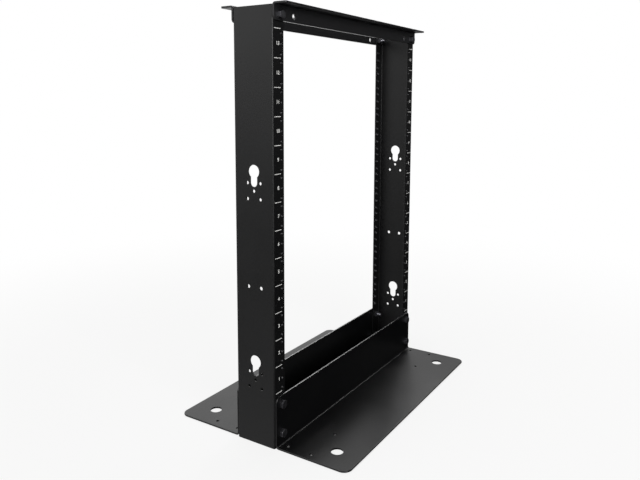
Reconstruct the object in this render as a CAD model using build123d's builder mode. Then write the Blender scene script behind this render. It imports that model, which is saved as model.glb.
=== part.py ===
from build123d import *
import os

# Two post open frame rack for 19 inch equipment, in millimetres.
# Two folded channel posts stand between two wide base angles and are tied by two top angles.
# X runs across the rack, Y from front to back, Z up. The origin is on the floor, mid footprint.

# Rack standard: unit height, hole heights inside a unit, and the clear width between the posts
rack_unit = 44.45
unit_count = 13
unit_hole_heights = (6.35, 22.225, 38.1)
clear_opening = 450.8
rail_edge_distance = 7.15
rail_hole_diameter = 5.5

# Posts: channels folded from sheet, web outside, flanges turned in towards the equipment
post_sheet = 2.0
post_bend_inside = 1.0
post_depth = 76.2
post_flange = 28.6
post_above_units = 34.7

# Web of each post: hanging slots with a round head, five small holes under each, a pair between
slot_head_diameter = 21.4
slot_width = 13.4
slot_drop = 17.6
slot_above_first_unit = 47.15
slot_pitch_units = 7
web_hole_diameter = 5.2
web_pair_hole_diameter = 6.2
web_hole_spread = 12.7
web_group_below_slot = 31.0
web_pair_above_slot = 124.55

# Base angles: upright leg outside the flanges, foot plate turned outwards
base_sheet = 3.0
base_bend_inside = 2.5
base_leg_height = 86.5
base_leg_to_units = 5.8
base_foot_reach = 134.5
base_end_inset = 1.75
base_leg_corner = 10.0
base_foot_corner = 15.0
anchor_hole_diameter = 20.6
anchor_edge_distance = 44.5
foot_hole_diameter = 6.0
foot_hole_end_distance = 14.75
foot_hole_inner_distance = 88.0
foot_hole_near_reach = 15.0
foot_hole_far_reach = 60.0

# Top angles: upright leg outside the flanges, flat leg turned outwards above the posts
top_sheet = 3.0
top_bend_inside = 1.5
top_leg_height = 26.6
top_flat_reach = 25.0
top_leg_corner = 6.0
top_flat_corner = 3.0
spare_hole_end_distance = 53.0

# Hexagon bolts and nuts that clamp each angle to a flange
bolt_diameter = 8.0
bolt_length = 20.0
hex_across_flats = 13.0
bolt_head_thickness = 5.3
nut_thickness = 6.5
hex_chamfer = 0.8
hole_clearance = 0.5
thread_clearance = 0.05
bolt_web_distance = 17.0
lower_bolt_height = 22.5
upper_bolt_below_leg_top = 14.5
top_bolt_below_post_top = 14.35

# The many small holes and the shanks are drawn with few sides, which keeps the repeats light
small_hole_sides = 8
shank_sides = 12

# Places that several pieces share
flange_face = post_depth / 2
web_face = clear_opening / 2 + post_flange
rail_side = clear_opening / 2 + rail_edge_distance
first_unit_height = base_leg_height + base_leg_to_units
post_height = first_unit_height + unit_count * rack_unit + post_above_units
top_angle_top = post_height + top_sheet
base_end = web_face - base_end_inset
bolt_side = web_face - bolt_web_distance
bolt_hole_radius = bolt_diameter / 2 + hole_clearance
bolt_heights = {
    "lower": lower_bolt_height,
    "upper": base_leg_height - upper_bolt_below_leg_top,
    "top": post_height - top_bolt_below_post_top,
}
lower_slot_height = first_unit_height + slot_above_first_unit
slot_heights = (lower_slot_height, lower_slot_height + slot_pitch_units * rack_unit)
gauge_units = (0, unit_count // 2, unit_count - 1)


# Heights of equipment holes, for the given units and the given rises inside a unit
def hole_heights(units, rises):
    return [first_unit_height + unit * rack_unit + rise for unit in units for rise in rises]


# In front, the outer holes of the lowest, middle and highest unit are round and gauge the rack
rail_heights = hole_heights(range(unit_count), unit_hole_heights)
gauge_heights = hole_heights(gauge_units, unit_hole_heights[::2])
plain_heights = [height for height in rail_heights if height not in gauge_heights]

# Left post, with its web on the left and its mouth towards the equipment
with BuildPart() as left_upright:
    with BuildSketch(Plane.XY):
        with BuildLine():
            FilletPolyline(
                (post_flange - web_face, -flange_face),
                (-web_face, -flange_face),
                (-web_face, flange_face),
                (post_flange - web_face, flange_face),
                radius=post_bend_inside + post_sheet,
            )
            offset(amount=post_sheet, side=Side.RIGHT)
        make_face()
    extrude(amount=post_height)

    # Bolt holes through both flanges, then the equipment holes of the front and the back flange
    with BuildSketch(Plane.XZ.offset(-flange_face)):
        with Locations(*[(-bolt_side, height) for height in bolt_heights.values()]):
            RegularPolygon(bolt_hole_radius, shank_sides)
    extrude(amount=post_depth, mode=Mode.SUBTRACT)
    with BuildSketch(Plane.XZ.offset(flange_face)):
        with Locations(*[(-rail_side, height) for height in gauge_heights]):
            Circle(rail_hole_diameter / 2)
        with Locations(*[(-rail_side, height) for height in plain_heights]):
            RegularPolygon(rail_hole_diameter / 2, small_hole_sides)
    extrude(amount=-post_sheet, mode=Mode.SUBTRACT)
    with BuildSketch(Plane.XZ.offset(-flange_face)):
        with Locations(*[(-rail_side, height) for height in rail_heights]):
            RegularPolygon(rail_hole_diameter / 2, small_hole_sides)
    extrude(amount=post_sheet, mode=Mode.SUBTRACT)

    # Hanging slots and small holes, through the web
    with BuildSketch(Plane.YZ.offset(-web_face)):
        for head_height in slot_heights:
            with Locations((0, head_height)):
                Circle(slot_head_diameter / 2)
            with Locations((0, head_height - slot_drop / 2)):
                Rectangle(slot_width, slot_drop)
            with Locations((0, head_height - slot_drop)):
                Circle(slot_width / 2)
            with Locations((0, head_height - web_group_below_slot)):
                RegularPolygon(web_hole_diameter / 2, small_hole_sides)
                with GridLocations(2 * web_hole_spread, 2 * web_hole_spread, 2, 2):
                    RegularPolygon(web_hole_diameter / 2, small_hole_sides)
        with Locations((0, lower_slot_height + web_pair_above_slot)):
            with GridLocations(2 * web_hole_spread, 0, 2, 1):
                RegularPolygon(web_pair_hole_diameter / 2, small_hole_sides)
    extrude(amount=post_sheet, mode=Mode.SUBTRACT)

with BuildPart() as right_upright:
    mirror(left_upright.part, about=Plane.YZ)

# Front base angle: the leg stands against the front flanges, the foot plate lies on the floor
with BuildPart() as front_base_angle:
    with BuildSketch(Plane.YZ.offset(-base_end)):
        with BuildLine():
            FilletPolyline(
                (-flange_face, base_leg_height),
                (-flange_face, 0),
                (-flange_face - base_foot_reach, 0),
                radius=base_bend_inside + base_sheet,
            )
            offset(amount=base_sheet, side=Side.RIGHT)
        make_face()
    extrude(amount=2 * base_end)
    fillet(front_base_angle.edges().filter_by(Axis.Y).group_by(Axis.Z)[-1], base_leg_corner)
    fillet(front_base_angle.edges().filter_by(Axis.Z).group_by(Axis.Y)[0], base_foot_corner)

    # Four large anchor holes in all, and three small holes near each corner
    with BuildSketch(Plane.XY):
        with Locations((0, anchor_edge_distance - flange_face - base_foot_reach)):
            with GridLocations(2 * (base_end - anchor_edge_distance), 0, 2, 1):
                Circle(anchor_hole_diameter / 2)
        for end_distance, reach in (
            (foot_hole_end_distance, foot_hole_near_reach),
            (foot_hole_end_distance, foot_hole_far_reach),
            (foot_hole_inner_distance, foot_hole_far_reach),
        ):
            with Locations((0, -flange_face - reach)):
                with GridLocations(2 * (base_end - end_distance), 0, 2, 1):
                    RegularPolygon(foot_hole_diameter / 2, small_hole_sides)
    extrude(amount=base_sheet, mode=Mode.SUBTRACT)

    with BuildSketch(Plane.XZ.offset(flange_face)):
        for level in ("lower", "upper"):
            with Locations((0, bolt_heights[level])):
                with GridLocations(2 * bolt_side, 0, 2, 1):
                    RegularPolygon(bolt_hole_radius, shank_sides)
    extrude(amount=base_sheet, mode=Mode.SUBTRACT)

with BuildPart() as back_base_angle:
    mirror(front_base_angle.part, about=Plane.XZ)

# Front top angle: the leg hangs against the front flanges, the flat leg reaches forward
with BuildPart() as front_top_angle:
    with BuildSketch(Plane.YZ.offset(-web_face)):
        with BuildLine():
            FilletPolyline(
                (-flange_face, top_angle_top - top_leg_height),
                (-flange_face, top_angle_top),
                (-flange_face - top_flat_reach, top_angle_top),
                radius=top_bend_inside + top_sheet,
            )
            offset(amount=top_sheet, side=Side.LEFT)
        make_face()
    extrude(amount=2 * web_face)
    fillet(front_top_angle.edges().filter_by(Axis.Y).group_by(Axis.Z)[0], top_leg_corner)
    fillet(front_top_angle.edges().filter_by(Axis.Z).group_by(Axis.Y)[0], top_flat_corner)

    with BuildSketch(Plane.XZ.offset(flange_face)):
        with Locations((0, bolt_heights["top"])):
            with GridLocations(2 * bolt_side, 0, 2, 1):
                RegularPolygon(bolt_hole_radius, shank_sides)
            with GridLocations(2 * (web_face - spare_hole_end_distance), 0, 2, 1):
                Circle(bolt_hole_radius)
    extrude(amount=top_sheet, mode=Mode.SUBTRACT)

with BuildPart() as back_top_angle:
    mirror(front_top_angle.part, about=Plane.XZ)


# Bolt with its head on the seat plane and its shank running back through it
def hex_bolt(seat):
    with BuildPart() as bolt:
        with BuildSketch(seat):
            RegularPolygon(hex_across_flats / 2, side_count=6, major_radius=False)
        extrude(amount=bolt_head_thickness)
        chamfer(bolt.faces().sort_by(Axis(seat.origin, seat.z_dir))[-1].edges(), hex_chamfer)
        with BuildSketch(seat):
            RegularPolygon(bolt_diameter / 2, shank_sides)
        extrude(amount=-bolt_length)
    return bolt.part


# Nut standing on the seat plane, bored a little larger than the shank it grips
def hex_nut(seat):
    with BuildPart() as nut:
        with BuildSketch(seat):
            RegularPolygon(hex_across_flats / 2, side_count=6, major_radius=False)
        extrude(amount=nut_thickness)
        chamfer(nut.faces().sort_by(Axis(seat.origin, seat.z_dir))[-1].edges(), hex_chamfer)
        with BuildSketch(seat):
            RegularPolygon(bolt_diameter / 2 + thread_clearance, shank_sides)
        extrude(amount=nut_thickness, mode=Mode.SUBTRACT)
    return nut.part


# A fastener's seat, facing out of the rack or into it, with one flat of the hexagon upright
def seat_plane(across, depth, height, facing):
    return Plane(origin=(across, depth, height), x_dir=(0, 0, 1), z_dir=(0, facing, 0))


pieces = {
    "left_upright": left_upright.part,
    "right_upright": right_upright.part,
    "front_base_angle": front_base_angle.part,
    "back_base_angle": back_base_angle.part,
    "front_top_angle": front_top_angle.part,
    "back_top_angle": back_top_angle.part,
}

# Each bolt's head lies on an angle outside, its nut on the flange inside
angle_sheets = {"lower": base_sheet, "upper": base_sheet, "top": top_sheet}
for face, facing in (("front", -1), ("back", 1)):
    for side, across in (("left", -bolt_side), ("right", bolt_side)):
        for level, height in bolt_heights.items():
            head_depth = facing * (flange_face + angle_sheets[level])
            nut_depth = facing * (flange_face - post_sheet)
            spot = f"{face}_{side}_{level}"
            pieces[f"{spot}_bolt"] = hex_bolt(seat_plane(across, head_depth, height, facing))
            pieces[f"{spot}_nut"] = hex_nut(seat_plane(across, nut_depth, height, -facing))

os.makedirs("parts", exist_ok=True)
for name, piece in pieces.items():
    piece.label = name
    export_step(piece, f"parts/{name}.step")
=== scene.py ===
import math

import bmesh
import bpy
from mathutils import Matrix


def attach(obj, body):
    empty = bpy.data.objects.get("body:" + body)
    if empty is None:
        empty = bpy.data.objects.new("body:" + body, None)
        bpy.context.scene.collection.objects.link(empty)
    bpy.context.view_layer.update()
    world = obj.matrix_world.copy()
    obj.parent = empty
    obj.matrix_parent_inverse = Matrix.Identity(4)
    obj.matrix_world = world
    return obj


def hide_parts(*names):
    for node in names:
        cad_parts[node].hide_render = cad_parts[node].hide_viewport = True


# Two post open frame rack for 19 inch equipment, in metres, standing on the floor at the origin.
# X runs across the rack, Y from front to back, Z up. All of it is folded steel sheet in black
# powder coat, bolted together.

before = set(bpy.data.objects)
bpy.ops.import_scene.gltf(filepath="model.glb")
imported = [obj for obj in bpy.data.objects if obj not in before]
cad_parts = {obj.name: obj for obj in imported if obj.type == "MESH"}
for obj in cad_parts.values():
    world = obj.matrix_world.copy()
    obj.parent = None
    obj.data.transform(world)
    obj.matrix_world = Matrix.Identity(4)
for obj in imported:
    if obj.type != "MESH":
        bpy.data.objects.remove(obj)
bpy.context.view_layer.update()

# Camera
# It stands to the front left of the rack, level with its eleventh unit, and looks slightly down.
# Its lens is shifted a little, so that the posts stay nearly upright in the picture.
CAMERA_PLACE = (-1.0360, -0.6208, 0.5635)
CAMERA_TURN = [math.radians(angle) for angle in (83.141, -0.169, -57.519)]
CAMERA_FILM = 36
CAMERA_LENS = 35.88
CAMERA_SHIFT = -0.1

bpy.ops.object.camera_add(location=CAMERA_PLACE, rotation=CAMERA_TURN)
camera = bpy.context.object
camera.name = "picture_camera"
camera.data.sensor_width = CAMERA_FILM
camera.data.lens = CAMERA_LENS
camera.data.shift_y = CAMERA_SHIFT
bpy.context.scene.camera = camera

# Posts
# Two channels folded from 2 mm steel sheet, web outside, flanges turned in towards the equipment.
# The holes are punched before folding, and the whole channel is then powder coated in black.
WEB_FACE = 0.254
FLANGE_FACE = 0.0381
FLANGE_WIDTH = 0.0286
POST_HEIGHT = 0.70485
POST_SHEET = 0.002
POST_BEND = 0.003
UNIT = 0.04445
UNITS = 13
FIRST_UNIT = 0.0923
UNIT_HOLES = (0.00635, 0.022225, 0.0381)
RAIL_SIDE = 0.23255
RAIL_HOLE = 0.0055
BOLT_SIDE = 0.237
BOLT_HOLE = 0.009
BOLT_HEIGHTS = {"lower": 0.0225, "upper": 0.072, "top": 0.6905}
SLOT_HEAD = 0.0214
SLOT_WIDTH = 0.0134
SLOT_DROP = 0.0176
SLOT_HEIGHTS = (0.13945, 0.4506)
WEB_HOLE = 0.0052
WEB_PAIR_HOLE = 0.0062
WEB_SPREAD = 0.0127
WEB_GROUP_DROP = 0.031
WEB_PAIR_RISE = 0.12455
WEB_HOLE_SIDES = 24
SLOT_HEAD_SIDES = 48
SLOT_END_SIDES = 36
POST_EDGE = 0.0003
CUT_THROUGH = 0.02
CUT_BOTH_FLANGES = 0.1
POST_COAT_ROUGHNESS = 0.45
COAT_BLACK = "#030304"
COAT_GRAIN = "#09090b"
# The real grit is about 0.3 mm, drawn at 1.2 mm so that it shows in a picture of the whole rack
GRIT_SIZE = 0.0012
GRIT_RELIEF = 0.00012
PEEL_SIZE = 0.004
PEEL_RELIEF = 0.0002
CLOUD_SIZE = 0.085
CLOUD_SHEEN = 0.03
FOLD_ANGLE = math.radians(50)
SAME_POINT = 0.000001
ACROSS = 0
FRONT_TO_BACK = 1


def work_on(piece):
    """Selects the piece alone and makes it the active one."""
    bpy.ops.object.select_all(action="DESELECT")
    piece.select_set(True)
    bpy.context.view_layer.objects.active = piece


def pick(kind, test):
    """Selects the points or edges in edit mode whose points all pass the test."""
    shape = bmesh.from_edit_mesh(bpy.context.edit_object.data)
    bpy.ops.mesh.select_mode(type=kind)
    bpy.ops.mesh.select_all(action="DESELECT")
    items = shape.verts if kind == "VERT" else shape.edges
    for item in items:
        points = [item.co] if kind == "VERT" else [point.co for point in item.verts]
        item.select_set(all(test(point) for point in points))
    bmesh.update_edit_mesh(bpy.context.edit_object.data)


def near(value, wanted):
    """Whether two lengths are the same to a hundredth of a millimetre."""
    return abs(value - wanted) < 1e-5


def new_plate(name, low, high):
    """A flat rectangle in edit mode between two corners at one height."""
    bpy.ops.object.select_all(action="DESELECT")
    bpy.ops.mesh.primitive_plane_add(size=1)
    piece = bpy.context.object
    piece.name = name
    bpy.ops.object.mode_set(mode="EDIT")
    bpy.ops.transform.resize(value=(high[0] - low[0], high[1] - low[1], 1))
    middle = [(a + b) / 2 for a, b in zip(low, high)]
    bpy.ops.transform.translate(value=middle)
    return piece


def finish_with(piece, kind, **settings):
    """Adds a modifier with its settings and applies it."""
    work_on(piece)
    modifier = piece.modifiers.new(kind.lower(), kind)
    for key, value in settings.items():
        setattr(modifier, key, value)
    bpy.ops.object.modifier_apply(modifier=modifier.name)


def punch(piece, places, diameter, depth, axis, sides=WEB_HOLE_SIDES):
    """Punches round holes through the given places, along X, Y or Z."""
    turn = {"X": (0, math.pi / 2, 0), "Y": (math.pi / 2, 0, 0), "Z": (0, 0, 0)}[axis]
    bpy.ops.object.select_all(action="DESELECT")
    pins = []
    for place in places:
        bpy.ops.mesh.primitive_cylinder_add(
            vertices=sides, radius=diameter / 2, depth=depth, location=place, rotation=turn
        )
        pins.append(bpy.context.object)
    for pin in pins:
        pin.select_set(True)
    bpy.ops.object.transform_apply()
    if len(pins) > 1:
        bpy.ops.object.join()
    tool = bpy.context.object
    finish_with(piece, "BOOLEAN", operation="DIFFERENCE", object=tool, solver="EXACT")
    bpy.data.objects.remove(tool)


def ease_edges(piece, width):
    """Rounds every cut edge a little."""
    finish_with(
        piece, "BEVEL", width=width, segments=2, limit_method="ANGLE", angle_limit=FOLD_ANGLE
    )


def shade_folds(piece):
    """Shades folds and eased edges smooth, and keeps the wide faces flat beside them."""
    work_on(piece)
    bpy.ops.object.shade_smooth_by_angle(angle=FOLD_ANGLE)
    finish_with(piece, "WEIGHTED_NORMAL", keep_sharp=True)


def mirrored(piece, name, axis):
    """A copy with its own mesh, mirrored ACROSS the rack or FRONT_TO_BACK."""
    copy = piece.copy()
    copy.data = piece.data.copy()
    copy.name = name
    bpy.context.scene.collection.objects.link(copy)
    work_on(copy)
    copy.scale[axis] = -1
    bpy.ops.object.transform_apply()
    bpy.ops.object.mode_set(mode="EDIT")
    bpy.ops.mesh.select_all(action="SELECT")
    bpy.ops.mesh.remove_doubles(threshold=SAME_POINT)
    bpy.ops.mesh.normals_make_consistent(inside=False)
    bpy.ops.object.mode_set(mode="OBJECT")
    return copy


def linear(colour):
    """An sRGB hex colour as the linear values that a shader takes."""
    parts = [int(colour[start : start + 2], 16) / 255 for start in (1, 3, 5)]
    light = [part / 12.92 if part <= 0.04045 else ((part + 0.055) / 1.055) ** 2.4 for part in parts]
    return light + [1]


def add_node(tree, kind, inputs=None, **settings):
    """Adds a node with its settings, and sets or links its inputs."""
    node = tree.nodes.new(kind)
    for key, value in settings.items():
        setattr(node, key, value)
    for key, value in (inputs or {}).items():
        if isinstance(value, bpy.types.NodeSocket):
            tree.links.new(value, node.inputs[key])
        else:
            node.inputs[key].default_value = value
    return node


def new_material(name):
    """A material with an empty node tree."""
    material = bpy.data.materials.new(name)
    material.use_nodes = True
    material.node_tree.nodes.clear()
    return material, material.node_tree


# Powder-coated steel, electrostatic fine texture black: a satin skin with a fine grit that breaks
# up reflections, and a soft orange peel under it where the powder flowed in the oven.
def powder_coat(name, black, grain, roughness, flow=0.0):
    material, tree = new_material(name)
    place = add_node(tree, "ShaderNodeTexCoord").outputs["Object"]
    grit = add_node(
        tree,
        "ShaderNodeTexNoise",
        {"Vector": place, "Scale": 1 / GRIT_SIZE, "Detail": 2.0, "Roughness": 0.6},
    ).outputs["Fac"]
    peel = add_node(
        tree, "ShaderNodeTexNoise", {"Vector": place, "Scale": 1 / PEEL_SIZE, "Detail": 1.0}
    ).outputs["Fac"]
    cloud = add_node(
        tree, "ShaderNodeTexNoise", {"Vector": place, "Scale": 1 / CLOUD_SIZE, "Detail": 3.0}
    ).outputs["Fac"]
    grit_tone = add_node(
        tree, "ShaderNodeMapRange", {"Value": grit, "From Min": 0.35, "From Max": 0.75}
    ).outputs["Result"]
    colour = add_node(
        tree,
        "ShaderNodeMix",
        {"Factor": grit_tone, "A": linear(black), "B": linear(grain)},
        data_type="RGBA",
    )
    cloud_rough = add_node(
        tree,
        "ShaderNodeMapRange",
        {
            "Value": cloud,
            "From Min": 0.3,
            "From Max": 0.7,
            "To Min": roughness - CLOUD_SHEEN,
            "To Max": roughness + CLOUD_SHEEN,
        },
    ).outputs["Result"]
    grit_bump = add_node(
        tree, "ShaderNodeBump", {"Height": grit, "Strength": 0.35, "Distance": GRIT_RELIEF}
    ).outputs["Normal"]
    peel_bump = add_node(
        tree,
        "ShaderNodeBump",
        {"Height": peel, "Strength": 0.3, "Distance": PEEL_RELIEF, "Normal": grit_bump},
    ).outputs["Normal"]
    shader = add_node(
        tree,
        "ShaderNodeBsdfPrincipled",
        {
            "Base Color": colour.outputs["Result"],
            "Roughness": cloud_rough,
            "Normal": peel_bump,
            "IOR": 1.6,
            "Coat Weight": flow,
            "Coat Roughness": 0.3,
            "Coat IOR": 1.9,
        },
    )
    add_node(tree, "ShaderNodeOutputMaterial", {"Surface": shader.outputs["BSDF"]})
    return material


post_coat = powder_coat("powder_coated_steel_posts", COAT_BLACK, COAT_GRAIN, POST_COAT_ROUGHNESS)

left_post = new_plate(
    "left_post_channel", (-WEB_FACE, -FLANGE_FACE, 0), (-WEB_FACE + FLANGE_WIDTH, FLANGE_FACE, 0)
)
bpy.ops.mesh.delete(type="ONLY_FACE")
pick("EDGE", lambda point: near(point.x, FLANGE_WIDTH - WEB_FACE))
bpy.ops.mesh.delete(type="EDGE")
bpy.ops.mesh.select_all(action="SELECT")
bpy.ops.mesh.extrude_region_move(TRANSFORM_OT_translate={"value": (0, 0, POST_HEIGHT)})
bpy.ops.mesh.select_all(action="SELECT")
bpy.ops.mesh.normals_make_consistent(inside=False)
bpy.ops.mesh.select_mode(type="EDGE")
shape = bmesh.from_edit_mesh(left_post.data)
bpy.ops.mesh.select_all(action="DESELECT")
for edge in shape.edges:
    low, high = sorted(point.co.z for point in edge.verts)
    edge.select_set(high > low and near(edge.verts[0].co.x, -WEB_FACE))
bpy.ops.mesh.bevel(offset=POST_BEND, segments=6)
bpy.ops.object.mode_set(mode="OBJECT")
web = max(left_post.data.polygons, key=lambda face: face.area)
inwards = -1 if web.normal.x < 0 else 1
finish_with(left_post, "SOLIDIFY", thickness=POST_SHEET, offset=inwards, use_even_offset=True)
rail_heights = [FIRST_UNIT + unit * UNIT + rise for unit in range(UNITS) for rise in UNIT_HOLES]
rail_holes = [(-RAIL_SIDE, 0, height) for height in rail_heights]
punch(left_post, rail_holes, RAIL_HOLE, CUT_BOTH_FLANGES, "Y")
bolt_holes = [(-BOLT_SIDE, 0, height) for height in BOLT_HEIGHTS.values()]
punch(left_post, bolt_holes, BOLT_HOLE, CUT_BOTH_FLANGES, "Y")
slot_heads = [(-WEB_FACE, 0, height) for height in SLOT_HEIGHTS]
punch(left_post, slot_heads, SLOT_HEAD, CUT_THROUGH, "X", SLOT_HEAD_SIDES)
slot_ends = [(-WEB_FACE, 0, height - SLOT_DROP) for height in SLOT_HEIGHTS]
punch(left_post, slot_ends, SLOT_WIDTH, CUT_THROUGH, "X", SLOT_END_SIDES)
web_holes = []
for height in SLOT_HEIGHTS:
    group = height - WEB_GROUP_DROP
    web_holes.append((-WEB_FACE, 0, group))
    for side in (-WEB_SPREAD, WEB_SPREAD):
        web_holes += [(-WEB_FACE, side, group + rise) for rise in (-WEB_SPREAD, WEB_SPREAD)]
punch(left_post, web_holes, WEB_HOLE, CUT_THROUGH, "X")
pair_height = SLOT_HEIGHTS[0] + WEB_PAIR_RISE
web_pair = [(-WEB_FACE, side, pair_height) for side in (-WEB_SPREAD, WEB_SPREAD)]
punch(left_post, web_pair, WEB_PAIR_HOLE, CUT_THROUGH, "X")
for height in SLOT_HEIGHTS:
    bpy.ops.object.select_all(action="DESELECT")
    bpy.ops.mesh.primitive_cube_add(size=1, location=(-WEB_FACE, 0, height - SLOT_DROP / 2))
    neck = bpy.context.object
    neck.scale = (CUT_THROUGH, SLOT_WIDTH, SLOT_DROP)
    bpy.ops.object.transform_apply()
    finish_with(left_post, "BOOLEAN", operation="DIFFERENCE", object=neck, solver="EXACT")
    bpy.data.objects.remove(neck)
ease_edges(left_post, POST_EDGE)
left_post.data.materials.append(post_coat)
right_post = mirrored(left_post, "right_post_channel", ACROSS)
for post, node in ((left_post, "left_upright"), (right_post, "right_upright")):
    shade_folds(post)
    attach(post, "root")
    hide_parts(node)

# Rail threads
# Each equipment hole is drawn out into a short collar inside the flange and tapped, because the
# sheet alone is too thin for a thread. The tap leaves dark bare steel in the hole.
COLLAR_DEPTH = 0.0042
COLLAR_OUTER = 0.0040
THREAD_CREST = 0.00235
THREAD_ROOT = 0.00272
COLLAR_SIDES = 12
COLLAR_START = -0.0003
COLLAR_OVERLAP = 0.0001
COLLAR_FIT = 0.00002
COLLAR_SEAM = 0.00003
CUT_GRAIN = 0.0008
CUT_STEEL_DARK = "#38383a"
CUT_STEEL_BRIGHT = "#666668"


# Bare steel cut by a tap and left oiled: a dark grey metal, rough across the cut.
def tapped_steel(name, dark, bright):
    material, tree = new_material(name)
    place = add_node(tree, "ShaderNodeTexCoord").outputs["Object"]
    cut = add_node(
        tree, "ShaderNodeTexNoise", {"Vector": place, "Scale": 1 / CUT_GRAIN, "Detail": 2.0}
    ).outputs["Fac"]
    colour = add_node(
        tree,
        "ShaderNodeMix",
        {"Factor": cut, "A": linear(dark), "B": linear(bright)},
        data_type="RGBA",
    )
    rough = add_node(
        tree, "ShaderNodeMapRange", {"Value": cut, "To Min": 0.38, "To Max": 0.55}
    ).outputs["Result"]
    shader = add_node(
        tree,
        "ShaderNodeBsdfPrincipled",
        {"Base Color": colour.outputs["Result"], "Metallic": 1.0, "Roughness": rough},
    )
    add_node(tree, "ShaderNodeOutputMaterial", {"Surface": shader.outputs["BSDF"]})
    return material


bpy.ops.object.select_all(action="DESELECT")
bpy.ops.mesh.primitive_circle_add(vertices=COLLAR_SIDES, radius=THREAD_ROOT)
collar = bpy.context.object
collar.name = "front_left_rail_threads"
bpy.ops.object.mode_set(mode="EDIT")
bpy.ops.mesh.select_all(action="SELECT")
bpy.ops.transform.translate(value=(0, 0, COLLAR_START))
# Radii and depths of the rings: the thread's crests and roots inward, then back along the outside
profile = [
    (THREAD_CREST, -0.0008),
    (THREAD_ROOT, -0.0013),
    (THREAD_CREST, -0.0018),
    (THREAD_ROOT, -0.0023),
    (THREAD_CREST, -0.0028),
    (THREAD_ROOT, -0.0034),
    (THREAD_CREST, -COLLAR_DEPTH),
    (COLLAR_OUTER * 0.92, -COLLAR_DEPTH),
    (COLLAR_OUTER, -POST_SHEET - 0.0006),
    (COLLAR_OUTER * 1.06, COLLAR_OVERLAP - POST_SHEET),
    (RAIL_HOLE / 2 + COLLAR_FIT, COLLAR_OVERLAP - POST_SHEET),
    (THREAD_ROOT, COLLAR_START),
]
radius, depth = THREAD_ROOT, COLLAR_START
for next_radius, next_depth in profile:
    bpy.ops.mesh.extrude_region_move(TRANSFORM_OT_translate={"value": (0, 0, next_depth - depth)})
    ratio = next_radius / radius
    bpy.ops.transform.resize(value=(ratio, ratio, 1), center_override=(0, 0, 0))
    radius, depth = next_radius, next_depth
bpy.ops.mesh.select_all(action="SELECT")
bpy.ops.mesh.remove_doubles(threshold=COLLAR_SEAM)
bpy.ops.mesh.normals_make_consistent(inside=False)
bpy.ops.object.mode_set(mode="OBJECT")
collar.rotation_euler = (math.pi / 2, 0, 0)
collar.location = (-RAIL_SIDE, -FLANGE_FACE, FIRST_UNIT)
bpy.ops.object.transform_apply()
collars = []
for rise in UNIT_HOLES:
    work_on(collar)
    bpy.ops.object.duplicate()
    bpy.ops.transform.translate(value=(0, 0, rise))
    bpy.ops.object.transform_apply()
    collars.append(bpy.context.object)
bpy.data.objects.remove(collar)
bpy.ops.object.select_all(action="DESELECT")
for ring in collars:
    ring.select_set(True)
bpy.context.view_layer.objects.active = collars[0]
bpy.ops.object.join()
left_threads = bpy.context.object
left_threads.name = "front_left_rail_threads"
finish_with(
    left_threads,
    "ARRAY",
    count=UNITS,
    use_relative_offset=False,
    use_constant_offset=True,
    constant_offset_displace=(0, 0, UNIT),
)
cut_steel = tapped_steel("tapped_bare_steel", CUT_STEEL_DARK, CUT_STEEL_BRIGHT)
left_threads.data.materials.append(cut_steel)
right_threads = mirrored(left_threads, "front_right_rail_threads", ACROSS)
back_left_threads = mirrored(left_threads, "back_left_rail_threads", FRONT_TO_BACK)
back_right_threads = mirrored(right_threads, "back_right_rail_threads", FRONT_TO_BACK)
for threads in (left_threads, right_threads, back_left_threads, back_right_threads):
    work_on(threads)
    bpy.ops.object.shade_smooth_by_angle(angle=FOLD_ANGLE)
    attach(threads, "root")

# Base angles
# Two wide angles folded from 3 mm sheet. The upright leg is bolted against the outside of the
# flanges and the foot plate turns outwards on the floor, with holes for anchoring it down.
BASE_END = 0.25225
BASE_LEG = 0.0865
BASE_FOOT = 0.1345
BASE_SHEET = 0.003
BASE_BEND = 0.0055
LEG_CORNER = 0.010
FOOT_CORNER = 0.015
ANCHOR_HOLE = 0.0206
ANCHOR_EDGE = 0.0445
FOOT_HOLE = 0.0056
FOOT_HOLES = ((0.01475, 0.015), (0.01475, 0.060), (0.088, 0.060))
ANCHOR_HOLE_SIDES = 48
BASE_EDGE = 0.0009
BASE_HOLE_EDGE = 0.0002
LEG_EDGE_DEPTH = 0.001
BASE_COAT_ROUGHNESS = 0.34
EDGE_COAT_ROUGHNESS = 0.36

base_coat = powder_coat("powder_coated_steel_base", COAT_BLACK, COAT_GRAIN, BASE_COAT_ROUGHNESS)
# The powder gathers along a cut edge and flows out glossier there, which draws a light line
edge_coat = powder_coat(
    "powder_coated_steel_edge", COAT_BLACK, COAT_GRAIN, EDGE_COAT_ROUGHNESS, flow=1.0
)


def coat_edges(piece, coat, test):
    """Gives a second coat to the faces whose middles pass the test."""
    piece.data.materials.append(coat)
    for face in piece.data.polygons:
        if test(face.center):
            face.material_index = 1


front_base = new_plate(
    "front_base_plate_angle", (-BASE_END, -FLANGE_FACE - BASE_FOOT, 0), (BASE_END, -FLANGE_FACE, 0)
)
pick("EDGE", lambda point: near(point.y, -FLANGE_FACE))
bpy.ops.mesh.extrude_region_move(TRANSFORM_OT_translate={"value": (0, 0, BASE_LEG)})
pick("EDGE", lambda point: near(point.y, -FLANGE_FACE) and near(point.z, 0))
bpy.ops.mesh.bevel(offset=BASE_BEND, segments=8)
pick("VERT", lambda point: near(point.z, BASE_LEG))
bpy.ops.mesh.bevel(offset=LEG_CORNER, segments=8, affect="VERTICES")
pick("VERT", lambda point: near(point.y, -FLANGE_FACE - BASE_FOOT))
bpy.ops.mesh.bevel(offset=FOOT_CORNER, segments=10, affect="VERTICES")
bpy.ops.mesh.select_all(action="SELECT")
bpy.ops.mesh.normals_make_consistent(inside=False)
bpy.ops.object.mode_set(mode="OBJECT")
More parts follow.
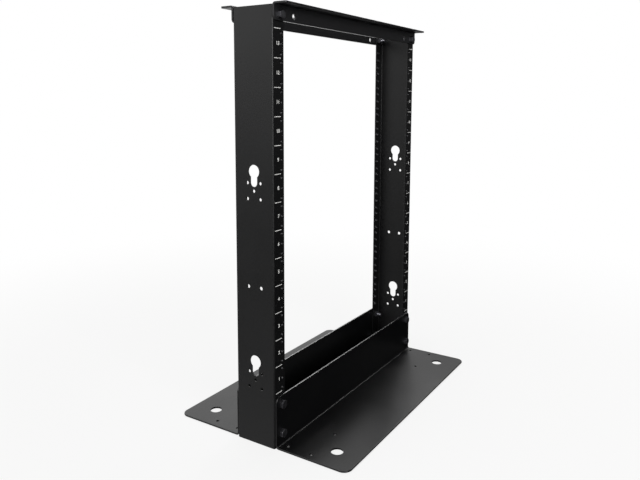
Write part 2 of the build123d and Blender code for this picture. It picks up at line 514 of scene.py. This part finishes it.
foot = max(front_base.data.polygons, key=lambda face: face.area)
upwards = -1 if foot.normal.z < 0 else 1
finish_with(front_base, "SOLIDIFY", thickness=BASE_SHEET, offset=upwards, use_even_offset=True)
ease_edges(front_base, BASE_EDGE)
anchor_reach = -FLANGE_FACE - BASE_FOOT + ANCHOR_EDGE
anchor_holes = [(side * (BASE_END - ANCHOR_EDGE), anchor_reach, 0) for side in (-1, 1)]
punch(front_base, anchor_holes, ANCHOR_HOLE, CUT_THROUGH, "Z", ANCHOR_HOLE_SIDES)
foot_holes = [
    (side * (BASE_END - end), -FLANGE_FACE - reach, 0)
    for side in (-1, 1)
    for end, reach in FOOT_HOLES
]
punch(front_base, foot_holes, FOOT_HOLE, CUT_THROUGH, "Z")
leg_holes = [
    (side * BOLT_SIDE, -FLANGE_FACE, BOLT_HEIGHTS[level])
    for side in (-1, 1)
    for level in ("lower", "upper")
]
punch(front_base, leg_holes, BOLT_HOLE, CUT_THROUGH, "Y")
ease_edges(front_base, BASE_HOLE_EDGE)
front_base.data.materials.append(base_coat)
coat_edges(front_base, edge_coat, lambda middle: middle.z > BASE_LEG - LEG_EDGE_DEPTH)
back_base = mirrored(front_base, "back_base_plate_angle", FRONT_TO_BACK)
for angle, node in ((front_base, "front_base_angle"), (back_base, "back_base_angle")):
    shade_folds(angle)
    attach(angle, "root")
    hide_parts(node)

# Top angles
# Two small angles folded from 3 mm sheet tie the posts together. Their legs hang outside the
# flanges, and their flats turn outwards just above the ends of the posts.
TOP_LEG = 0.0266
TOP_FLAT = 0.025
TOP_SHEET = 0.003
TOP_BEND = 0.0045
TOP_LEG_CORNER = 0.006
TOP_FLAT_CORNER = 0.003
SPARE_SIDE = 0.201
TOP_HEIGHT = POST_HEIGHT + TOP_SHEET
TOP_EDGE = 0.0004
TOP_EDGE_DEPTH = 0.0005
# The top angles take the posts' black coat painted lighter: a painted light tone for the brighter
# light that falls on them
TOP_LIT_BLACK = "#131315"
TOP_LIT_GRAIN = "#1d1d1f"
TOP_COAT_ROUGHNESS = 0.45

# A lighter copy of the black coat, painted light for the top angles
lit_top_coat = powder_coat("powder_coated_steel_top", TOP_LIT_BLACK, TOP_LIT_GRAIN, TOP_COAT_ROUGHNESS)

front_top = new_plate(
    "front_top_tie_angle",
    (-WEB_FACE, -FLANGE_FACE - TOP_FLAT, TOP_HEIGHT),
    (WEB_FACE, -FLANGE_FACE, TOP_HEIGHT),
)
pick("EDGE", lambda point: near(point.y, -FLANGE_FACE))
bpy.ops.mesh.extrude_region_move(TRANSFORM_OT_translate={"value": (0, 0, -TOP_LEG)})
pick("EDGE", lambda point: near(point.y, -FLANGE_FACE) and near(point.z, TOP_HEIGHT))
bpy.ops.mesh.bevel(offset=TOP_BEND, segments=6)
pick("VERT", lambda point: near(point.z, TOP_HEIGHT - TOP_LEG))
bpy.ops.mesh.bevel(offset=TOP_LEG_CORNER, segments=6, affect="VERTICES")
pick("VERT", lambda point: near(point.y, -FLANGE_FACE - TOP_FLAT))
bpy.ops.mesh.bevel(offset=TOP_FLAT_CORNER, segments=5, affect="VERTICES")
bpy.ops.mesh.select_all(action="SELECT")
bpy.ops.mesh.normals_make_consistent(inside=False)
bpy.ops.object.mode_set(mode="OBJECT")
flat = max(front_top.data.polygons, key=lambda face: face.area)
outward = flat.normal.z > 0 if abs(flat.normal.z) > 0.5 else flat.normal.y > 0
inwards = -1 if outward else 1
finish_with(front_top, "SOLIDIFY", thickness=TOP_SHEET, offset=inwards, use_even_offset=True)
tie_holes = [(side * BOLT_SIDE, -FLANGE_FACE, BOLT_HEIGHTS["top"]) for side in (-1, 1)]
punch(front_top, tie_holes, BOLT_HOLE, CUT_THROUGH, "Y")
spare_holes = [(side * SPARE_SIDE, -FLANGE_FACE, BOLT_HEIGHTS["top"]) for side in (-1, 1)]
punch(front_top, spare_holes, BOLT_HOLE, CUT_THROUGH, "Y")
ease_edges(front_top, TOP_EDGE)
front_top.data.materials.append(lit_top_coat)
leg_end = TOP_HEIGHT - TOP_LEG
coat_edges(front_top, edge_coat, lambda middle: middle.z < leg_end + TOP_EDGE_DEPTH)
back_top = mirrored(front_top, "back_top_tie_angle", FRONT_TO_BACK)
for angle, node in ((front_top, "front_top_angle"), (back_top, "back_top_angle")):
    shade_folds(angle)
    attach(angle, "root")
    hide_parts(node)

# Unit scale
# White lines part the thirteen units on the flanges of both posts, and each unit has its number.
# They are screen printed over the powder coat in a thin ink.
LINE_INNER = 0.2334
LINE_OUTER = 0.2500
LINE_HEIGHT = 0.0011
NUMBER_SIDE = 0.2406
NUMBER_SIZE = 0.0078
NUMBER_BOLD = 0.0002
NUMBER_WIDEN = 1.12
INK_THICKNESS = 0.0001
INK_MARK = 0.0009
INK_RELIEF = 0.00005
INK_WHITE = "#e6e6e3"
INK_THIN = "#c9c9c6"


# Screen-printing ink, cured white: matt, a little uneven where the mesh of the screen left it.
def screen_ink(name, white, thin):
    material, tree = new_material(name)
    place = add_node(tree, "ShaderNodeTexCoord").outputs["Object"]
    mesh_marks = add_node(
        tree, "ShaderNodeTexNoise", {"Vector": place, "Scale": 1 / INK_MARK, "Detail": 2.0}
    ).outputs["Fac"]
    cover = add_node(
        tree, "ShaderNodeMapRange", {"Value": mesh_marks, "From Min": 0.4, "From Max": 0.7}
    ).outputs["Result"]
    colour = add_node(
        tree,
        "ShaderNodeMix",
        {"Factor": cover, "A": linear(white), "B": linear(thin)},
        data_type="RGBA",
    )
    bump = add_node(
        tree, "ShaderNodeBump", {"Height": mesh_marks, "Strength": 0.2, "Distance": INK_RELIEF}
    )
    shader = add_node(
        tree,
        "ShaderNodeBsdfPrincipled",
        {
            "Base Color": colour.outputs["Result"],
            "Roughness": 0.55,
            "Normal": bump.outputs["Normal"],
        },
    )
    add_node(tree, "ShaderNodeOutputMaterial", {"Surface": shader.outputs["BSDF"]})
    return material


white_ink = screen_ink("screen_printed_ink", INK_WHITE, INK_THIN)


def unit_scale(name, side, face):
    """The lines and numbers of one flange, left (-1) or right (1), front (-1) or back (1)."""
    marks = []
    bpy.ops.object.select_all(action="DESELECT")
    for step in range(UNITS + 1):
        bpy.ops.mesh.primitive_cube_add(
            size=1,
            location=(
                side * (LINE_INNER + LINE_OUTER) / 2,
                face * (FLANGE_FACE + INK_THICKNESS / 2),
                FIRST_UNIT + step * UNIT,
            ),
        )
        line = bpy.context.object
        line.scale = (LINE_OUTER - LINE_INNER, INK_THICKNESS, LINE_HEIGHT)
        bpy.ops.object.transform_apply()
        marks.append(line)
    for unit in range(UNITS):
        bpy.ops.object.text_add(
            location=(side * NUMBER_SIDE, face * FLANGE_FACE, FIRST_UNIT + (unit + 0.5) * UNIT),
            rotation=(math.pi / 2, 0, 0 if face < 0 else math.pi),
        )
        number = bpy.context.object
        number.scale.x = NUMBER_WIDEN
        number.data.body = str(unit + 1)
        number.data.size = NUMBER_SIZE
        number.data.extrude = INK_THICKNESS
        number.data.offset = NUMBER_BOLD
        number.data.resolution_u = 3
        number.data.align_x = "CENTER"
        number.data.align_y = "CENTER"
        bpy.ops.object.convert(target="MESH")
        bpy.ops.object.transform_apply()
        marks.append(bpy.context.object)
    bpy.ops.object.select_all(action="DESELECT")
    for mark in marks:
        mark.select_set(True)
    bpy.context.view_layer.objects.active = marks[0]
    bpy.ops.object.join()
    scale = bpy.context.object
    scale.name = name
    bpy.ops.object.mode_set(mode="EDIT")
    bpy.ops.mesh.select_all(action="SELECT")
    bpy.ops.mesh.remove_doubles(threshold=SAME_POINT)
    bpy.ops.mesh.normals_make_consistent(inside=False)
    bpy.ops.object.mode_set(mode="OBJECT")
    scale.data.materials.clear()
    scale.data.materials.append(white_ink)
    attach(scale, "root")


for face_name, face in (("front", -1), ("back", 1)):
    for side_name, side in (("left", -1), ("right", 1)):
        unit_scale(f"{face_name}_{side_name}_unit_scale", side, face)

# Bolts and nuts
# Twelve M8 hexagon bolts in black zinc-plated steel clamp the angles to the flanges, with their
# heads outside. Each has a nut inside the channel, and its threaded end stands out of the nut.
HEX_FLATS = 0.013
HEAD_THICKNESS = 0.0053
NUT_THICKNESS = 0.0065
BOLT_RADIUS = 0.004
BOLT_LENGTH = 0.020
THREAD_PITCH = 0.00125
THREAD_DEPTH = 0.0006
THREAD_FALL = 0.45
THREAD_RISE = 0.55
PLAIN_SHANK = 0.0095
SHANK_SIDES = 20
NUT_PLAY = 0.0001
CORNER_SLOPE = math.tan(math.radians(30))
CORNER_RIM = 0.97
CORNER_SIDES = 48
HEX_EDGE = 0.00015
HEX_EDGE_ANGLE = math.radians(25)
HEX_SMOOTH_ANGLE = math.radians(20)
EMPTY_FACE = 0.000002
BLOTCH_SIZE = 0.003
BLOTCH_RELIEF = 0.0001
PLATE_BLACK = "#909096"
PLATE_GREY = "#b8b8bd"


# Zinc-plated and black-passivated steel: a thin, slightly oily dark metal skin, lighter where the
# wrench and the tumbling have rubbed it.
def black_zinc(name, dark, rubbed):
    material, tree = new_material(name)
    place = add_node(tree, "ShaderNodeTexCoord").outputs["Object"]
    blotch = add_node(
        tree, "ShaderNodeTexNoise", {"Vector": place, "Scale": 1 / BLOTCH_SIZE, "Detail": 3.0}
    ).outputs["Fac"]
    rub = add_node(
        tree, "ShaderNodeMapRange", {"Value": blotch, "From Min": 0.45, "From Max": 0.75}
    ).outputs["Result"]
    colour = add_node(
        tree,
        "ShaderNodeMix",
        {"Factor": rub, "A": linear(dark), "B": linear(rubbed)},
        data_type="RGBA",
    )
    rough = add_node(
        tree, "ShaderNodeMapRange", {"Value": blotch, "To Min": 0.24, "To Max": 0.42}
    ).outputs["Result"]
    bump = add_node(
        tree, "ShaderNodeBump", {"Height": blotch, "Strength": 0.15, "Distance": BLOTCH_RELIEF}
    )
    shader = add_node(
        tree,
        "ShaderNodeBsdfPrincipled",
        {
            "Base Color": colour.outputs["Result"],
            "Metallic": 1.0,
            "Roughness": rough,
            "Normal": bump.outputs["Normal"],
        },
    )
    add_node(tree, "ShaderNodeOutputMaterial", {"Surface": shader.outputs["BSDF"]})
    return material


zinc = black_zinc("black_zinc_plated_steel", PLATE_BLACK, PLATE_GREY)


def hexagon(name, thickness, low_cone, high_cone):
    """A hexagonal prism with a corner to +X, its corners turned off at the ends asked for."""
    bpy.ops.object.select_all(action="DESELECT")
    bpy.ops.mesh.primitive_cylinder_add(
        vertices=6, radius=HEX_FLATS / math.sqrt(3), depth=thickness, location=(0, 0, thickness / 2)
    )
    piece = bpy.context.object
    piece.name = name
    bpy.ops.object.mode_set(mode="EDIT")
    bpy.ops.mesh.select_all(action="SELECT")
    bpy.ops.transform.rotate(value=math.pi / 6, orient_axis="Z", center_override=(0, 0, 0))
    bpy.ops.object.mode_set(mode="OBJECT")
    bpy.ops.object.transform_apply()
    rim = HEX_FLATS / 2 * CORNER_RIM
    wide = rim + HEX_FLATS / CORNER_SLOPE
    for wanted, base, way in ((high_cone, thickness, 1), (low_cone, 0, -1)):
        if not wanted:
            continue
        bpy.ops.object.select_all(action="DESELECT")
        bpy.ops.mesh.primitive_cone_add(
            vertices=CORNER_SIDES,
            radius1=wide if way > 0 else rim,
            radius2=rim if way > 0 else wide,
            depth=HEX_FLATS,
            location=(0, 0, base - way * HEX_FLATS / 2),
        )
        cone = bpy.context.object
        bpy.ops.object.transform_apply()
        finish_with(piece, "BOOLEAN", operation="INTERSECT", object=cone, solver="EXACT")
        bpy.data.objects.remove(cone)
    return piece


def threaded_shank(piece):
    """Joins a shank below the head, with its thread as rings a pitch apart and a tapered end."""
    bpy.ops.object.select_all(action="DESELECT")
    bpy.ops.mesh.primitive_circle_add(
        vertices=SHANK_SIDES, radius=BOLT_RADIUS, fill_type="NGON"
    )
    shank = bpy.context.object
    bpy.ops.object.mode_set(mode="EDIT")
    bpy.ops.mesh.select_all(action="SELECT")
    rings = int((BOLT_LENGTH - PLAIN_SHANK) / THREAD_PITCH)
    core = (BOLT_RADIUS - THREAD_DEPTH) / BOLT_RADIUS
    steps = [(PLAIN_SHANK, 1)]
    for ring in range(rings):
        steps += [(THREAD_PITCH * THREAD_FALL, core), (THREAD_PITCH * THREAD_RISE, 1 / core)]
    steps.append((BOLT_LENGTH - PLAIN_SHANK - rings * THREAD_PITCH, core))
    for drop, scale in steps:
        bpy.ops.mesh.extrude_region_move(TRANSFORM_OT_translate={"value": (0, 0, -drop)})
        bpy.ops.transform.resize(value=(scale, scale, 1), center_override=(0, 0, 0))
    bpy.ops.mesh.select_all(action="SELECT")
    bpy.ops.mesh.normals_make_consistent(inside=False)
    bpy.ops.object.mode_set(mode="OBJECT")
    bpy.ops.object.select_all(action="DESELECT")
    shank.select_set(True)
    piece.select_set(True)
    bpy.context.view_layer.objects.active = piece
    bpy.ops.object.join()


hex_edges = {
    "width": HEX_EDGE,
    "segments": 1,
    "limit_method": "ANGLE",
    "angle_limit": HEX_EDGE_ANGLE,
}
bolt_pattern = hexagon("bolt_pattern", HEAD_THICKNESS, False, True)
finish_with(bolt_pattern, "BEVEL", **hex_edges)
threaded_shank(bolt_pattern)
nut_pattern = hexagon("nut_pattern", NUT_THICKNESS, True, True)
nut_bore = 2 * BOLT_RADIUS + NUT_PLAY
punch(nut_pattern, [(0, 0, NUT_THICKNESS / 2)], nut_bore, CUT_THROUGH, "Z", SHANK_SIDES)
finish_with(nut_pattern, "BEVEL", **hex_edges)
for pattern in (bolt_pattern, nut_pattern):
    work_on(pattern)
    bpy.ops.object.mode_set(mode="EDIT")
    bpy.ops.mesh.select_all(action="SELECT")
    bpy.ops.mesh.dissolve_degenerate(threshold=EMPTY_FACE)
    bpy.ops.object.mode_set(mode="OBJECT")
    bpy.ops.object.shade_smooth_by_angle(angle=HEX_SMOOTH_ANGLE)
    pattern.data.materials.append(zinc)


def set_on_flange(pattern, name, seat, facing, node):
    """Copies a bolt or nut, turns its axis to face along Y and sets it on its seat."""
    piece = pattern.copy()
    piece.data = pattern.data.copy()
    piece.name = name
    bpy.context.scene.collection.objects.link(piece)
    work_on(piece)
    # The hexagon's corner points up, as its flats stand upright
    piece.rotation_euler = (0, -math.pi / 2, -facing * math.pi / 2)
    piece.location = seat
    bpy.ops.object.transform_apply()
    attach(piece, "root")
    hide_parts(node)


ANGLE_SHEETS = {"lower": BASE_SHEET, "upper": BASE_SHEET, "top": TOP_SHEET}
for face_name, face in (("front", -1), ("back", 1)):
    for side_name, side in (("left", -1), ("right", 1)):
        for level, height in BOLT_HEIGHTS.items():
            spot = f"{face_name}_{side_name}_{level}"
            head_seat = (side * BOLT_SIDE, face * (FLANGE_FACE + ANGLE_SHEETS[level]), height)
            nut_seat = (side * BOLT_SIDE, face * (FLANGE_FACE - POST_SHEET), height)
            set_on_flange(bolt_pattern, f"{spot}_hex_bolt", head_seat, face, f"{spot}_bolt")
            set_on_flange(nut_pattern, f"{spot}_hex_nut", nut_seat, -face, f"{spot}_nut")
bpy.data.objects.remove(bolt_pattern)
bpy.data.objects.remove(nut_pattern)

# Floor and studio
# A pale floor that fades into white, a room that is bright behind the rack and dim before it, a
# soft lamp at the front left for the prints, and a strip above the right that draws the edges.
FLOOR_RADIUS = 4.0
FLOOR_SIDES = 96
FLOOR_DROP = 0.0004
FLOOR_PALE = "#e9e9e8"
FLOOR_WHITE_SHARE = 0.8
FLOOR_FADE = (0.45, 1.6)
# How bright the room is behind the rack, from the low end (0) to the high end (1) of its span
ROOM_TONES = ((0.0, 0.45), (0.14, 0.45), (0.26, 0.0), (0.55, 0.0), (0.68, 1.0), (1.0, 1.0))
ROOM_SPAN = (-0.6, 0.4)
ROOM_BACK = (-0.45, 1.0, 0.0)
ROOM_BACK_FADE = (-0.1, 0.15)
ROOM_RIGHT = "#ffffff"
ROOM_RIGHT_FADE = (-0.2, 0.4)
ROOM_HAZE = 0.07
ROOM_HAZE_FADE = (-0.32, -0.05)
WHITE = (1, 1, 1, 1)
LAMP_PLACE = (-1.6, -2.6, 1.4)
LAMP_AIM = (0, 0, 0.35)
LAMP_SIDE = 1.6
LAMP_POWER = 55
STRIP_PLACE = (2.1, 0.2, 1.9)
STRIP_AIM = (0, 0, 0.2)
STRIP_WIDTH = 1.0
STRIP_HEIGHT = 0.6
STRIP_POWER = 18


def fade(tree, value, span, full=1.0):
    """Rises smoothly from nothing at the start of the span to full at its end."""
    return add_node(
        tree,
        "ShaderNodeMapRange",
        {"Value": value, "From Min": span[0], "From Max": span[1], "To Max": full},
        interpolation_type="SMOOTHSTEP",
    ).outputs["Result"]


bpy.ops.object.select_all(action="DESELECT")
bpy.ops.mesh.primitive_circle_add(vertices=FLOOR_SIDES, radius=FLOOR_RADIUS, fill_type="NGON")
floor = bpy.context.object
floor.name = "studio_floor"
floor.location.z = -FLOOR_DROP
bpy.ops.object.transform_apply()
floor.visible_glossy = False

material, tree = new_material("matt_floor_paint")
place = add_node(tree, "ShaderNodeTexCoord").outputs["Object"]
reach = add_node(tree, "ShaderNodeVectorMath", {0: place}, operation="LENGTH").outputs["Value"]
far = fade(tree, reach, FLOOR_FADE)
seen = add_node(tree, "ShaderNodeLightPath").outputs["Is Camera Ray"]
matt = add_node(tree, "ShaderNodeBsdfDiffuse", {"Color": linear(FLOOR_PALE)}).outputs["BSDF"]
white = add_node(tree, "ShaderNodeEmission", {"Color": WHITE, "Strength": 1.0}).outputs["Emission"]
pale = add_node(
    tree, "ShaderNodeMixShader", {0: FLOOR_WHITE_SHARE, 1: matt, 2: white}
).outputs["Shader"]
shown = add_node(tree, "ShaderNodeMixShader", {0: far, 1: pale, 2: white}).outputs["Shader"]
look = add_node(tree, "ShaderNodeMixShader", {0: seen, 1: matt, 2: shown}).outputs["Shader"]
add_node(tree, "ShaderNodeOutputMaterial", {"Surface": look})
floor.data.materials.append(material)

world = bpy.data.worlds.new("studio_room")
world.use_nodes = True
world.node_tree.nodes.clear()
tree = world.node_tree
bpy.context.scene.world = world
way = add_node(tree, "ShaderNodeTexCoord").outputs["Generated"]
parts = add_node(tree, "ShaderNodeSeparateXYZ", {"Vector": way})
back = add_node(
    tree, "ShaderNodeVectorMath", {0: way, 1: ROOM_BACK}, operation="DOT_PRODUCT"
).outputs["Value"]
behind = fade(tree, back, ROOM_BACK_FADE)
right = fade(tree, parts.outputs["X"], ROOM_RIGHT_FADE)
haze = fade(tree, parts.outputs["Z"], ROOM_HAZE_FADE, ROOM_HAZE)
rise = add_node(
    tree,
    "ShaderNodeMapRange",
    {"Value": parts.outputs["Z"], "From Min": ROOM_SPAN[0], "From Max": ROOM_SPAN[1]},
).outputs["Result"]
ramp = add_node(tree, "ShaderNodeValToRGB", {"Fac": rise})
ramp.color_ramp.interpolation = "EASE"
for place, tone in ROOM_TONES[1:-1]:
    ramp.color_ramp.elements.new(place)
for element, (place, tone) in zip(ramp.color_ramp.elements, ROOM_TONES):
    element.position = place
    element.color = (tone, tone, tone, 1)
tone = add_node(
    tree,
    "ShaderNodeMix",
    {"Factor": right, "A": ramp.outputs["Color"], "B": linear(ROOM_RIGHT)},
    data_type="RGBA",
).outputs["Result"]
level = add_node(
    tree, "ShaderNodeMath", {0: behind, 1: tone, 2: haze}, operation="MULTIPLY_ADD"
).outputs["Value"]
room = add_node(tree, "ShaderNodeBackground", {"Color": WHITE, "Strength": level}).outputs[0]
paper = add_node(tree, "ShaderNodeBackground", {"Color": WHITE, "Strength": 1.0}).outputs[0]
seen = add_node(tree, "ShaderNodeLightPath").outputs["Is Camera Ray"]
both = add_node(tree, "ShaderNodeMixShader", {0: seen, 1: room, 2: paper}).outputs["Shader"]
add_node(tree, "ShaderNodeOutputWorld", {"Surface": both})


def soft_lamp(name, place, aim, width, height, power):
    """A rectangular lamp at its place, turned to shine at its aim."""
    bpy.ops.object.select_all(action="DESELECT")
    bpy.ops.object.light_add(type="AREA", location=place)
    lamp = bpy.context.object
    lamp.name = name
    lamp.data.shape = "RECTANGLE"
    lamp.data.size = width
    lamp.data.size_y = height
    lamp.data.energy = power
    towards = [b - a for a, b in zip(place, aim)]
    across = math.hypot(towards[0], towards[1])
    lamp.rotation_euler = (math.atan2(across, -towards[2]), 0, math.atan2(-towards[0], towards[1]))


soft_lamp("front_left_lamp", LAMP_PLACE, LAMP_AIM, LAMP_SIDE, LAMP_SIDE, LAMP_POWER)
soft_lamp("back_right_strip", STRIP_PLACE, STRIP_AIM, STRIP_WIDTH, STRIP_HEIGHT, STRIP_POWER)

bpy.context.scene.view_settings.view_transform = "Standard"
